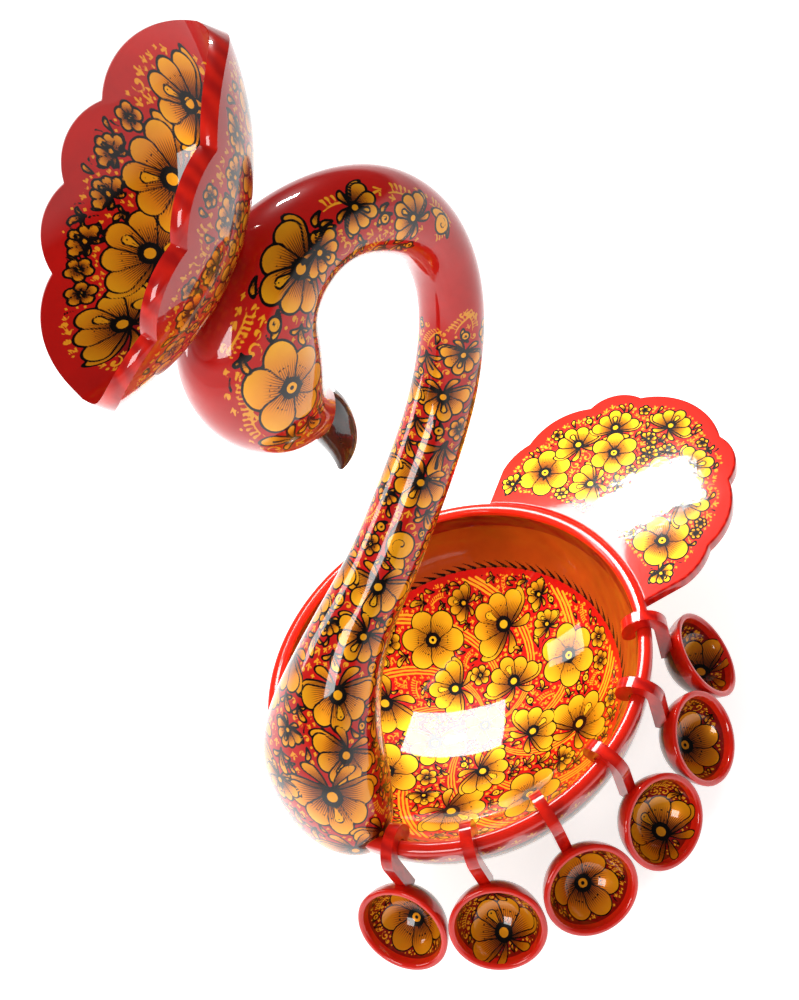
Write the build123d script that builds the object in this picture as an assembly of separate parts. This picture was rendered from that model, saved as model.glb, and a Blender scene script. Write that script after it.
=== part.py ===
from build123d import *
from math import asin, atan2, cos, degrees, hypot, pi, radians, sin, sqrt
import os

os.makedirs("parts", exist_ok=True)

# Swan-shaped khokhloma punch bowl with six hanging ladle cups, all of turned and carved limewood.
# Millimetres, +Z up. Origin: centre of the bowl's flat foot. The swan looks towards -X, its tail is
# on the +X side, and the cups hang from the rim on the -Y side.

# --- bowl -------------------------------------------------------------------------------------------
RIM_Z = 102.5            # height of the rim's crown
RIM_R = 125.0            # outer rim radius across the bowl
STRETCH = 1.04           # the carved bowl is this much longer along the swan than across it
RIM_WALL = 8.7           # wall thickness at the rim
RIM_ROUND = 4.2          # rounding of both rim edges
HOLLOW_DEPTH = 90.5      # rim crown to the lowest point inside
BELLY_DEPTH = 106.0      # depth of the outer half ellipse
FOOT_R = 55.0
FOOT_H = 9.0
FOOT_SPARE = 2.0         # stock left under the foot, cut off flat at z = 0

# --- neck and head: stations along the carved piece --------------------------------------------------
# each is (x behind the front of the rim, z over the rim's crown, half depth in the swan's middle
# plane, half width across it)
NECK_STATIONS = {
    "breast_low": (26.5, -52.5, 6.5, 12.0),
    "breast": (18.0, -26.5, 24.0, 40.0),
    "rim_saddle": (21.0, 1.5, 31.0, 50.0),
    "shoulder": (31.0, 28.5, 33.0, 45.0),
    "root": (46.0, 55.5, 28.5, 37.0),
    "nape_low": (66.0, 79.5, 24.5, 28.5),
    "nape": (89.0, 99.5, 21.0, 23.0),
    "sweep": (119.0, 119.5, 19.3, 20.5),
    "middle": (154.0, 147.5, 18.7, 19.2),
    "back": (187.0, 178.5, 17.8, 18.4),
    "rise": (212.0, 214.5, 17.0, 17.8),
    "arch_back": (223.0, 250.5, 16.2, 17.6),
    "arch_turn": (219.0, 283.5, 17.3, 18.6),
    "arch_top": (199.0, 310.5, 20.0, 20.8),
    "arch_fore": (169.0, 324.5, 21.2, 22.6),
    "brow": (135.0, 319.5, 27.5, 27.0),
    "skull": (115.0, 300.5, 32.5, 31.0),
    "cheek": (110.0, 273.5, 30.5, 29.0),
    "bill_root": (118.0, 253.5, 22.5, 21.5),
    "bill_seat": (128.0, 242.5, 14.6, 13.8),
}

# --- beak -------------------------------------------------------------------------------------------
BEAK_STATIONS = {
    "seat": (128.0, 242.5, 13.4, 12.6),
    "upper": (132.0, 231.5, 12.2, 11.2),
    "middle": (132.5, 220.5, 10.6, 9.2),
    "lower": (131.0, 210.5, 7.8, 6.4),
    "hook": (127.5, 203.5, 4.0, 3.4),
    "tip": (125.0, 200.5, 1.4, 1.4),
}
TENON_R = 5.0            # round tenon of the beak
TENON_L = 14.0

# --- crest: a carved shell on top of the head ---------------------------------------------------------
# middle of the line between the shell's two tips: x behind the front of the rim, z over its crown
CREST_CENTRE = (105.5, 373.3)
CREST_TILT = 39.4        # rise of that line towards the tail, in degrees
CREST_HALF_L = 76.0      # half the distance between the tips
CREST_WING = 44.0        # height of a wing's edge over the tip line, measured in the wing's slope
CREST_SLOPE = 50.0       # slope of each wing in degrees
CREST_KEEL = 35.0        # depth of the keel below the tip line
CREST_WALL = 6.5
SHELL_D = 130.0          # semi-axis of the shell's ellipsoid across its mouth
WING_HALF_WIDTH = 46.95  # half width of the ellipsoid at the wings' edges
WING_RISE = 18.54        # height over the tip line at which it has that width
LOBE_CUSPS = (0, 60, 90, 120, 180)    # angles of the notches along a wing's edge
LOBE_IN = 0.95           # notches lie this far out on the wing's half ellipse
LOBE_OUT = 1.06          # and the lobes bulge this far out
CREST_DOWEL_R = 4.0
CREST_DOWEL_L = 24.0
CREST_DOWEL_INSET = 4.0  # how far the dowel enters the shell
CREST_DOWEL_U = -4.0     # its place along the keel

# --- tail board -------------------------------------------------------------------------------------
TAIL_T = 9.0
TAIL_RISE = 6.0          # slope of the board in degrees
# half outline: x behind the bowl's middle, y to the side
TAIL_INNER = (40.0, 50.0)    # hidden corner, cut away by the bowl
TAIL_ROOT = (102.0, 70.0)    # where the edge leaves the rim
TAIL_EAR = (133.0, 81.0)
TAIL_CUSP_1 = (161.0, 79.0)
TAIL_CUSP_2 = (208.0, 60.0)
TAIL_CUSP_3 = (233.0, 34.0)
TAIL_END_X = 246.0
TAIL_LOBE = 7.0          # bulge of each lobe between two notches
TAIL_DOWEL_R = 3.0
TAIL_DOWEL_L = 32.0
TAIL_DOWEL_INSET = 6.0
TAIL_DOWEL_Y = 45.0

# --- dowels that pin the neck to the rim wall ----------------------------------------------------------
NECK_DOWEL_R = 4.0
NECK_DOWEL_L = 34.0
NECK_DOWEL_IN = 13.0     # middle of the dowels, behind the front of the rim
NECK_DOWEL_DOWN = 16.5   # and below its crown
NECK_DOWEL_Y = 20.0      # spacing

# --- cups -------------------------------------------------------------------------------------------
CUP_R = 29.0             # outer radius at the rim
CUP_CENTRE = 1.25        # centre of the cup's inner and outer spheres, over the rim plane
CUP_FOOT_CUT = 26.3      # flat foot this far below the rim plane
CUP_WALL = 4.0
CUP_LIP = 1.6            # rounding of the cup's rim
CUP_TILT = 32.0          # the mouth looks this far above the horizontal, outwards
CUP_OFF = 39.5           # middle of the mouth, outwards from the bowl's inner rim edge
CUP_Z = 55.0             # height of the middle of the mouth
CUP_NECK_GAP = 8.15      # middle of the first hook, outside the neck's widest part
CUP_TAIL_GAP = 7.5       # middle of the last hook, outside the tail's root, is at least this
CUP_GAP = 0.388          # spacing of neighbouring cups over their width, middle to middle

# --- cup handles: hooks sawn from board ----------------------------------------------------------------
HOOK_T = 7.0             # board thickness
HOOK_BAND = 8.5          # width of the sawn band
HOOK_SLOT_R = 5.8        # radius of the slot that straddles the rim
HOOK_SEAT_GAP = 0.4      # the slot's top hangs this far over the rim's crown
HOOK_TONGUE_Z = 95.0     # middle of the round end inside the bowl
HOOK_ROOT = 8.0          # low end of the stem's blank over the cup's middle; it is cut to the cup
PEG_R = 1.8
PEG_LOW = 12.5           # low end of the peg over the cup's middle, in the cup's wall
PEG_L = 16.5

INNER_R = RIM_R - RIM_WALL
RIM_FRONT = Vector(-RIM_R * STRETCH, 0, RIM_Z)
TAIL_HINGE_X = RIM_R * STRETCH
NECK_HALF_WIDTH = max(width for _, _, _, width in NECK_STATIONS.values())


def station_planes(stations):
    pts = [RIM_FRONT + Vector(x, 0, z) for x, z, _, _ in stations.values()]
    planes = []
    for i, p in enumerate(pts):
        tangent = pts[min(i + 1, len(pts) - 1)] - pts[max(i - 1, 0)]
        planes.append(Plane(origin=p, x_dir=(0, 1, 0), z_dir=tangent))
    return planes


def carved(stations):
    planes = station_planes(stations)
    faces = [pl * Ellipse(w, d) for pl, (_, _, d, w) in zip(planes, stations.values())]
    return loft(faces)


def ellipsoid(a, b, c):
    return scale(Sphere(1), by=(a, b, c))


# bowl: half section turned about Z, then drawn out along the swan
section = Pos(0, RIM_Z) * Ellipse(RIM_R, BELLY_DEPTH)
low = Pos(0, -FOOT_SPARE)
section &= low * Rectangle(RIM_R, RIM_Z + FOOT_SPARE, align=(Align.MIN, Align.MIN))
section += low * Rectangle(FOOT_R, FOOT_H + FOOT_SPARE, align=(Align.MIN, Align.MIN))
section -= Pos(0, RIM_Z) * Ellipse(INNER_R, HOLLOW_DEPTH)
crown = [v for v in section.vertices() if abs(v.Y - RIM_Z) < 1e-3 and v.X > FOOT_R]
section = fillet(crown, RIM_ROUND)
bowl = split(scale(revolve(Plane.XZ * section, Axis.Z), by=(STRETCH, 1, 1)), Plane.XY, keep=Keep.TOP)

# solid block of the bowl with its hollow filled, used to fit the tail to the rim
block = Pos(0, RIM_Z) * Ellipse(RIM_R, BELLY_DEPTH)
block &= Rectangle(RIM_R, RIM_Z, align=(Align.MIN, Align.MIN))
block += Pos(0, RIM_Z) * Rectangle(RIM_R, TAIL_T, align=(Align.MIN, Align.MIN))
block = scale(revolve(Plane.XZ * block, Axis.Z), by=(STRETCH, 1, 1))

# neck and head, saddled over the rim wall
neck = carved(NECK_STATIONS) - bowl

# crest: an ellipsoid shell cut to two scalloped wings
crest_dir = (cos(radians(CREST_TILT)), 0, sin(radians(CREST_TILT)))
crest_up = (-sin(radians(CREST_TILT)), 0, cos(radians(CREST_TILT)))
crest_frame = Plane(origin=RIM_FRONT + Vector(CREST_CENTRE[0], 0, CREST_CENTRE[1]), x_dir=crest_dir,
                    z_dir=crest_up)
shell_up = SHELL_D - CREST_KEEL
shell_a = CREST_HALF_L / sqrt(1 - (shell_up / SHELL_D) ** 2)
shell_b = WING_HALF_WIDTH / sqrt(1 - ((shell_up - WING_RISE) / SHELL_D) ** 2)
hull = Pos(0, 0, shell_up) * ellipsoid(shell_a, shell_b, SHELL_D)
hollow = Pos(0, 0, shell_up) * ellipsoid(shell_a - CREST_WALL, shell_b - CREST_WALL, SHELL_D - CREST_WALL)


def wing_point(angle, reach):
    return (CREST_HALF_L * reach * cos(radians(angle)), CREST_WING * reach * sin(radians(angle)))


edges = []
for start, end in zip(LOBE_CUSPS, LOBE_CUSPS[1:]):
    p = wing_point(start, 1.0 if start == 0 else LOBE_IN)
    q = wing_point(end, 1.0 if end == 180 else LOBE_IN)
    edges.append(ThreePointArc(p, wing_point((start + end) / 2, LOBE_OUT), q))
tip, far = wing_point(0, 1.0), wing_point(180, 1.0)
edges.append(Polyline(far, (far[0] * 1.2, -2 * CREST_KEEL), (tip[0] * 1.2, -2 * CREST_KEEL), tip))
wing_plane = Plane(origin=(0, 0, 0), x_dir=(1, 0, 0),
                   z_dir=(0, -sin(radians(CREST_SLOPE)), cos(radians(CREST_SLOPE))))
wing = extrude(wing_plane * make_face(edges), 2 * SHELL_D, both=True)
half_space = Pos(0, SHELL_D, 0) * Box(4 * SHELL_D, 2 * SHELL_D, 8 * SHELL_D)
half_shell = ((hull - hollow) & half_space) & wing
crest = crest_frame * (half_shell + mirror(half_shell, about=Plane.XZ))
neck -= crest_frame * hull

# crest dowel, blind in the shell and in the head
crest_dowel = crest_frame * Pos(CREST_DOWEL_U, 0, -CREST_KEEL + CREST_DOWEL_INSET - CREST_DOWEL_L / 2) \
    * Cylinder(CREST_DOWEL_R, CREST_DOWEL_L)
crest -= crest_dowel
neck -= crest_dowel

# beak with its round tenon
head_end = station_planes(NECK_STATIONS)[-1]
beak_root = Plane(origin=head_end.origin, x_dir=(0, 1, 0), z_dir=head_end.z_dir)
beak_faces = [beak_root * Ellipse(BEAK_STATIONS["seat"][3], BEAK_STATIONS["seat"][2])]
for plane, (_, _, d, w) in list(zip(station_planes(BEAK_STATIONS), BEAK_STATIONS.values()))[1:]:
    beak_faces.append(plane * Ellipse(w, d))
tenon = beak_root * Pos(0, 0, -TENON_L / 2) * Cylinder(TENON_R, TENON_L)
beak = loft(beak_faces) + tenon
neck -= tenon

# neck dowels along X through the rim wall
neck_dowels = []
for k in (-1, 0, 1):
    place = Pos(RIM_FRONT + Vector(NECK_DOWEL_IN, k * NECK_DOWEL_Y, -NECK_DOWEL_DOWN))
    pin = place * Rot(0, 90, 0) * Cylinder(NECK_DOWEL_R, NECK_DOWEL_L)
    neck_dowels.append(pin)
    bowl -= pin
    neck -= pin

# tail board: scalloped outline, tilted up from the rim
def lobe(p, q, bulge):
    mx, my = (p[0] + q[0]) / 2, (p[1] + q[1]) / 2
    dx, dy = q[0] - p[0], q[1] - p[1]
    n = hypot(dx, dy)
    return ThreePointArc(p, (mx + dy / n * bulge, my - dx / n * bulge), q)


def near(p):
    return (p[0], -p[1])


right = [TAIL_EAR, TAIL_CUSP_1, TAIL_CUSP_2, TAIL_CUSP_3]
bulges = [TAIL_LOBE / 3, TAIL_LOBE, TAIL_LOBE]
outline = [Polyline(TAIL_EAR, TAIL_ROOT, TAIL_INNER, near(TAIL_INNER), near(TAIL_ROOT), near(TAIL_EAR))]
for p, q, bulge in zip(right, right[1:], bulges):
    outline.append(lobe(near(p), near(q), bulge))
    outline.append(lobe(q, p, bulge))
outline.append(ThreePointArc(near(TAIL_CUSP_3), (TAIL_END_X, 0), TAIL_CUSP_3))
tail_frame = Plane(origin=(TAIL_HINGE_X, 0, RIM_Z),
                   x_dir=(cos(radians(TAIL_RISE)), 0, sin(radians(TAIL_RISE))),
                   z_dir=(-sin(radians(TAIL_RISE)), 0, cos(radians(TAIL_RISE))))
board = extrude(Pos(-TAIL_HINGE_X, 0) * make_face(outline), -TAIL_T)
tail = tail_frame * board - block

tail_dowels = []
for k in (-1, 0, 1):
    rim_x = RIM_R * STRETCH * sqrt(1 - (k * TAIL_DOWEL_Y / RIM_R) ** 2)
    start = rim_x - TAIL_DOWEL_INSET - TAIL_HINGE_X
    pin = tail_frame * Pos(start + TAIL_DOWEL_L / 2, k * TAIL_DOWEL_Y, -TAIL_T / 2) * Rot(0, 90, 0) \
        * Cylinder(TAIL_DOWEL_R, TAIL_DOWEL_L)
    tail_dowels.append(pin)
    bowl -= pin
    tail -= pin

# one cup, drawn in a frame with +X outwards from the inner rim edge
cup_frame = Plane(origin=(CUP_OFF, 0, CUP_Z), x_dir=(0, 1, 0),
                  z_dir=(cos(radians(CUP_TILT)), 0, sin(radians(CUP_TILT))))
ball = Pos(0, CUP_CENTRE)
shape = ball * Circle(hypot(CUP_R, CUP_CENTRE))
shape &= Rectangle(2 * CUP_R, CUP_FOOT_CUT, align=(Align.MIN, Align.MAX))
cup_block = cup_frame * revolve(Plane.XZ * shape, Axis.Z)
shape -= ball * Circle(hypot(CUP_R - CUP_WALL, CUP_CENTRE))
lip = [v for v in shape.vertices() if abs(v.Y) < 1e-3]
cup_body = cup_frame * revolve(Plane.XZ * fillet(lip, CUP_LIP), Axis.Z)

# its handle: slot, crook, tongue and stem in the radial plane
slot_x = RIM_WALL / 2
slot_z = RIM_Z + HOOK_SEAT_GAP - HOOK_SLOT_R
crook_r = HOOK_SLOT_R + HOOK_BAND
outer_ring = Pos(slot_x, slot_z) * Circle(crook_r) & Pos(slot_x, slot_z) * Rectangle(
    2 * crook_r, crook_r, align=(Align.CENTER, Align.MIN))
stem = Pos(slot_x + HOOK_SLOT_R, CUP_Z + HOOK_ROOT) * Rectangle(
    HOOK_BAND, slot_z - CUP_Z - HOOK_ROOT, align=(Align.MIN, Align.MIN))
tongue_x = slot_x - HOOK_SLOT_R - HOOK_BAND / 2
tongue = Pos(tongue_x, HOOK_TONGUE_Z) * Circle(HOOK_BAND / 2)
tongue += Pos(tongue_x, HOOK_TONGUE_Z) * Rectangle(
    HOOK_BAND, slot_z - HOOK_TONGUE_Z, align=(Align.CENTER, Align.MIN))
hook = outer_ring + stem + tongue - Pos(slot_x, slot_z) * Circle(HOOK_SLOT_R)
handle = extrude(Plane.XZ * hook, HOOK_T / 2, both=True) - cup_block
handle = handle.solids().sort_by(Axis.Z)[-1]
peg = Pos(slot_x + crook_r - HOOK_BAND / 2, 0, CUP_Z + PEG_LOW) * Cylinder(
    PEG_R, PEG_L, align=(Align.CENTER, Align.CENTER, Align.MIN))
handle -= peg
cup_body -= peg


def rim_place(angle):
    """Frame on the inner rim edge in the given direction, +X along the rim's outward normal."""
    a = radians(angle)
    x, y = STRETCH * INNER_R * cos(a), INNER_R * sin(a)
    heading = degrees(atan2(y / INNER_R ** 2, x / (STRETCH * INNER_R) ** 2))
    return Pos(x, y, 0) * Rot(0, 0, heading)


export_step(bowl, "parts/bowl.step")
export_step(neck, "parts/neck_and_head.step")
export_step(beak, "parts/beak.step")
export_step(crest, "parts/crest.step")
export_step(tail, "parts/tail_board.step")
export_step(Compound(children=neck_dowels), "parts/neck_dowels.step")
export_step(Compound(children=tail_dowels), "parts/tail_dowels.step")
export_step(crest_dowel, "parts/crest_dowel.step")
cup_first = degrees(asin((NECK_HALF_WIDTH + CUP_NECK_GAP) / INNER_R)) - 180
cup_last = -degrees(asin((TAIL_ROOT[1] + CUP_TAIL_GAP) / INNER_R))
cup_step = 2 * degrees(asin((CUP_R + CUP_GAP / 2) / (INNER_R + CUP_OFF)))
cup_count = int((cup_last - cup_first) / cup_step) + 1
for n in range(cup_count):
    place = rim_place(cup_first + n * cup_step)
    export_step(place * cup_body, f"parts/cup_{n + 1}_body.step")
    export_step(place * handle, f"parts/cup_{n + 1}_handle.step")
    export_step(place * peg, f"parts/cup_{n + 1}_peg.step")
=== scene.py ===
from math import asin, atan2, cos, hypot, pi, radians, sin, sqrt

import bpy
import numpy as np
from mathutils import Matrix, Vector


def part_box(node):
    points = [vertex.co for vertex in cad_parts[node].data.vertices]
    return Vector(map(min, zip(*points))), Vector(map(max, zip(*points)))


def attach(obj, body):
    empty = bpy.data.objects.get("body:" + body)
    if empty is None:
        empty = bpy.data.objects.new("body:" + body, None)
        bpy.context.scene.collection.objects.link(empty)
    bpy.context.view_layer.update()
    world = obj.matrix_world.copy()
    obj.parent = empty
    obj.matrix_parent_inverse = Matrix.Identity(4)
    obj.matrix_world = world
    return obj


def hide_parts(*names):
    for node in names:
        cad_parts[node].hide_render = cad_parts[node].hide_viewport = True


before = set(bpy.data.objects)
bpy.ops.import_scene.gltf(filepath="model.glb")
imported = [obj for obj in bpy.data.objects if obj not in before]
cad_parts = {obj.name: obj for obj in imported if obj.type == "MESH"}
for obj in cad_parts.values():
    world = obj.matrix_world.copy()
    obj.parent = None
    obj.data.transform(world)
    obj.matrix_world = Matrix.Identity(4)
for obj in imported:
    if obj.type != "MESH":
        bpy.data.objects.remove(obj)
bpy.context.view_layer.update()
MM = 0.001
TAU = 2 * pi
FAR = -40.0      # signed distance, in mm, of ground with no brushwork near it

# ---------------------------------------------------------------- sizes of the CAD part, in mm
low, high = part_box("bowl")
RIM_Z, RIM_R = high.z / MM, high.y / MM
STRETCH = high.x / high.y
RIM_WALL, RIM_ROUND, HOLLOW_DEPTH, BELLY_DEPTH, FOOT_R = 8.7, 4.2, 90.5, 106.0, 55.0
INNER_R = RIM_R - RIM_WALL
FRONT_X = -RIM_R * STRETCH
# neck stations: x behind the rim's front, z over its crown, half depth, half width
NECK = {
    "breast_low": (26.5, -52.5, 6.5, 12.0), "breast": (18.0, -26.5, 24.0, 40.0),
    "rim_saddle": (21.0, 1.5, 31.0, 50.0), "shoulder": (31.0, 28.5, 33.0, 45.0),
    "root": (46.0, 55.5, 28.5, 37.0), "nape_low": (66.0, 79.5, 24.5, 28.5),
    "nape": (89.0, 99.5, 21.0, 23.0), "sweep": (119.0, 119.5, 19.3, 20.5),
    "middle": (154.0, 147.5, 18.7, 19.2), "back": (187.0, 178.5, 17.8, 18.4),
    "rise": (212.0, 214.5, 17.0, 17.8), "arch_back": (223.0, 250.5, 16.2, 17.6),
    "arch_turn": (219.0, 283.5, 17.3, 18.6), "arch_top": (199.0, 310.5, 20.0, 20.8),
    "arch_fore": (169.0, 324.5, 21.2, 22.6), "brow": (135.0, 319.5, 27.5, 27.0),
    "skull": (115.0, 300.5, 32.5, 31.0), "cheek": (110.0, 273.5, 30.5, 29.0),
    "bill_root": (118.0, 253.5, 22.5, 21.5), "bill_seat": (128.0, 242.5, 14.6, 13.8),
}
CREST_CENTRE, CREST_TILT, CREST_HALF_L, CREST_WING = (105.5, 373.3), radians(39.4), 76.0, 44.0
CREST_SLOPE, CREST_KEEL, CREST_WALL, SHELL_D = radians(50.0), 35.0, 6.5, 130.0
WING_HALF_WIDTH, WING_RISE = 46.95, 18.54
LOBE_CUSPS, LOBE_IN, LOBE_OUT = (0, 60, 90, 120, 180), 0.95, 1.06
TAIL_T, TAIL_RISE, TAIL_LOBE, TAIL_END_X = 9.0, radians(6.0), 7.0, 246.0
TAIL_ROOT = (102.0, 70.0)
TAIL_CUSPS = ((133.0, 81.0), (161.0, 79.0), (208.0, 60.0), (233.0, 34.0))
CUP_R, CUP_CENTRE, CUP_FOOT_CUT, CUP_WALL, CUP_LIP = 29.0, 1.25, 26.3, 4.0, 1.6
CUP_TILT, CUP_OFF, CUP_Z, CUP_FIRST, CUP_STEP, CUP_COUNT = radians(32.0), 39.5, 55.0, -150.0, 21.6, 6


# ---------------------------------------------------------------- brushwork as distance fields
class Canvas:
    """A surface to paint. x runs in mm; y in mm too, or as an angle round a piece of radius(x) mm.

    gold, line and black are signed distances (mm, inside > 0) to the nearest gold shape, yellow line and
    black stroke. fade runs from 0 at a gold shape's root to 1 at its tip, and hatch across it. edge is the
    free room from the painted area's border, zone and band split the ground into colours.
    """

    def __init__(self, x, y, edge, seed, radius=None, zone=None, band=None):
        self.x, self.y, self.edge, self.radius = x.ravel(), y.ravel(), edge.ravel(), radius
        n = self.x.size
        self.around = radius(self.x) if radius else None
        self.gold, self.line, self.black = (np.full(n, FAR) for _ in range(3))
        self.fade, self.hatch = np.zeros(n), np.zeros(n)
        self.zone = np.full(n, FAR) if zone is None else zone.ravel()
        self.band = np.full(n, FAR) if band is None else band.ravel()
        self.rng = np.random.default_rng(seed)
        self.order = np.argsort(self.x)
        self.sorted_x = self.x[self.order]

    def near(self, c, reach):
        """Points within reach of c, and their offsets from it."""
        lo, hi = np.searchsorted(self.sorted_x, (c[0] - reach, c[0] + reach))
        i = self.order[lo:hi]
        dy = self.y[i] - c[1]
        if self.radius:
            dy = ((dy + pi) % TAU - pi) * self.around[i]
        keep = np.abs(dy) < reach
        i = i[keep]
        return i, self.x[i] - c[0], dy[keep]

    def at(self, c, d, angle):
        """The point d mm from c in direction angle."""
        across = d * sin(angle)
        if self.radius:
            across /= float(self.radius(c[0]))
        return (c[0] + d * cos(angle), c[1] + across)

    def lay_gold(self, i, s, fade, hatch):
        """Lays one gold shape over what is there: s is its own signed distance."""
        old = self.gold[i]
        self.gold[i] = np.where(s > 0, s, np.where(old > 0, np.minimum(old, -s), np.maximum(old, s)))
        inside = s > 0
        self.fade[i[inside]] = fade[inside]
        self.hatch[i[inside]] = hatch[inside]

    def petal(self, c, angle, length, width, bend=0.0, root=0.12, shade=(0.0, 1.0), lines=4.0):
        """A drop of gold from its narrow root at c, curving sideways by bend."""
        i, dx, dy = self.near(c, length + 11)
        if not i.size:
            return
        u = dx * cos(angle) + dy * sin(angle)
        v = dy * cos(angle) - dx * sin(angle) - bend * length * np.clip(u / length, 0, 1.3) ** 2
        wide = width / 2
        thin = max(root * wide, 0.25)
        h = max(length - wide - thin, 0.5)
        lean = min(max((thin - wide) / h, -0.98), 0.98)
        level = sqrt(1 - lean * lean)
        px, py = np.abs(v), u - thin
        k = level * py - lean * px
        body = px * level + py * lean - thin
        s = -np.where(k < 0, np.hypot(px, py) - thin,
                      np.where(k > level * h, np.hypot(px, py - h) - wide, body))
        w = np.clip(u / length, 0, 1)
        self.lay_gold(i, s, shade[0] + (shade[1] - shade[0]) * w, lines * v / (wide * (0.25 + 0.75 * w)))

    def disc(self, c, r, fade=0.8):
        i, dx, dy = self.near(c, r + 10)
        self.lay_gold(i, r - np.hypot(dx, dy), np.full(i.size, fade), np.zeros(i.size))

    def stroke(self, points, start, end, layer):
        """A line through the points, its half width running from start to end."""
        q = np.asarray(points, float)
        c = q.mean(0)
        scale = float(self.radius(c[0])) if self.radius else 1.0
        q = (q - c) * (1.0, scale)
        i, dx, dy = self.near(c, np.abs(q).max() + 10)
        best = np.full(i.size, -60.0)
        for m, (a, b) in enumerate(zip(q, q[1:])):
            ab = b - a
            t = np.clip(((dx - a[0]) * ab[0] + (dy - a[1]) * ab[1]) / max(ab @ ab, 1e-9), 0, 1)
            half = start + (end - start) * (m + t) / (len(q) - 1)
            best = np.maximum(best, half - np.hypot(dx - a[0] - t * ab[0], dy - a[1] - t * ab[1]))
        layer[i] = np.maximum(layer[i], best)

    def dot(self, c, r, layer):
        i, dx, dy = self.near(c, r + 10)
        layer[i] = np.maximum(layer[i], r - np.hypot(dx, dy))

    def ring(self, c, r, hole, layer):
        i, dx, dy = self.near(c, r + 10)
        d = np.hypot(dx, dy)
        layer[i] = np.maximum(layer[i], np.minimum(r - d, d - hole))

    # motifs, each about r mm in radius
    def flower(self, c, r, n, turn, pale=0.0):
        wide = 2.2 * r * sin(pi / n) / (1 + sin(pi / n))
        for m in range(n):
            self.petal(c, turn + m * TAU / n, r, wide, root=0.3, shade=(pale, 1.0))
        for m in range(n):
            a = turn + m * TAU / n
            for k in (-0.2, 0.0, 0.2):
                ray = [self.at(c, r * 0.22, a + k), self.at(c, r * 0.4, a + k)]
                self.stroke(ray, 0.35, 0.12, self.black)
                self.dot(self.at(c, r * 0.48, a + k), max(r * 0.025, 0.3), self.black)
        self.disc(c, r * 0.2, 0.9)
        self.ring(c, r * 0.24, r * 0.12, self.black)
        self.dot(c, r * 0.05, self.black)

    def fan(self, c, angle, r, n=5, spread=1.35):
        """A half-open flower: petals over an arc, a rayed dark heart and curled leaves at its base."""
        for side in (-1, 1):
            self.petal(self.at(c, r * 0.1, angle + side * 2.2), angle + side * 1.85, r * 0.95, r * 0.36,
                       bend=-side * 0.45, shade=(0.05, 0.9))
            self.petal(self.at(c, r * 0.1, angle + side * 2.6), angle + side * 2.6, r * 0.6, r * 0.26,
                       bend=-side * 0.35, shade=(0.1, 0.9))
        for m in sorted(range(n), key=lambda k: -abs(k - (n - 1) / 2)):
            a = angle + spread * (2 * m / (n - 1) - 1)
            self.petal(c, a, r * (0.93 + 0.07 * (m % 2 == 0)), r * 1.95 * spread / n, root=0.25)
        heart = self.at(c, r * 0.1, angle)
        for k in np.linspace(-1.2, 1.2, 9):
            ray = [self.at(heart, r * 0.18, angle + k), self.at(heart, r * 0.42, angle + k)]
            self.stroke(ray, 0.35, 0.1, self.black)
            self.dot(self.at(heart, r * 0.5, angle + k), max(r * 0.022, 0.3), self.black)
        self.disc(heart, r * 0.18, 0.85)
        self.ring(heart, r * 0.22, r * 0.11, self.black)
        self.petal(self.at(heart, r * 0.16, angle), angle, r * 0.42, r * 0.2, shade=(0.7, 1.0), lines=1)

    def leaf(self, c, angle, r):
        """A curling leaf of three commas with a dark vein."""
        self.petal(c, angle, r * 1.9, r * 0.85, bend=0.35, shade=(0.05, 1.0), lines=3)
        self.petal(self.at(c, r * 0.3, angle), angle - 0.7, r * 1.1, r * 0.5, bend=-0.3, shade=(0.15, 0.95))
        self.petal(self.at(c, r * 0.2, angle), angle + 0.9, r, r * 0.42, bend=0.4, shade=(0.1, 0.9))
        vein = [self.at(c, r * q, angle + turn) for q, turn in ((0.25, 0.0), (0.8, 0.1), (1.3, 0.26))]
        self.stroke(vein, 0.2, r * 0.09, self.black)

    def snail(self, c, angle, r, side=1):
        """A leaf that rolls up at its tip round a dark eye."""
        self.petal(self.at(c, -r * 0.9, angle), angle - side * 0.5, r * 1.7, r * 0.8, bend=side * 0.5,
                   shade=(0.0, 1.0), lines=3)
        self.disc(c, r * 0.52, 0.85)
        self.curl(c, r * 0.36, angle, side, self.black, 0.32)

    def curl(self, c, r, angle, side, layer, w=0.5):
        a = np.linspace(0, 1.75 * pi, 14)
        reach = r * (0.15 + 0.85 * (a / a[-1]) ** 1.2)
        self.stroke([self.at(c, q, angle + side * t) for q, t in zip(reach, a)], w * 1.5, w * 0.4, layer)

    def comma(self, c, angle, r, layer, bend=0.3):
        spine = [self.at(c, r * f, angle + bend * f) for f in np.linspace(0, 1, 6)]
        self.stroke(spine, 0.2, r * 0.16, layer)

    def sprig(self, c, angle, r, layer):
        for k, length in ((-0.5, 0.8), (0.0, 1.0), (0.5, 0.8)):
            self.comma(self.at(c, -r * 0.5, angle), angle + k, r * length * 1.3, layer, k * 0.4)

    def frond(self, c, angle, r, side, layer):
        """A scroll: a spine that curls up at its end, with commas along its outer side."""
        a = np.linspace(0, 1, 9)
        spine = [self.at(c, r * t, angle + side * 0.55 * t) for t in a]
        self.stroke(spine, r * 0.02, r * 0.045, layer)
        for t, q in zip(a[1:], spine[1:]):
            self.comma(q, angle - side * (1.0 - 0.7 * t), r * (0.3 - 0.1 * t), layer, -side * 0.4)
        eye = self.at(spine[-1], r * 0.16, angle + side * 2.0)
        self.curl(eye, r * 0.17, angle + side * 0.4, side, layer, r * 0.035)

    def berry(self, c, r):
        self.disc(c, r * 0.8, 0.8)
        self.dot(c, r * 0.22, self.black)

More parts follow.
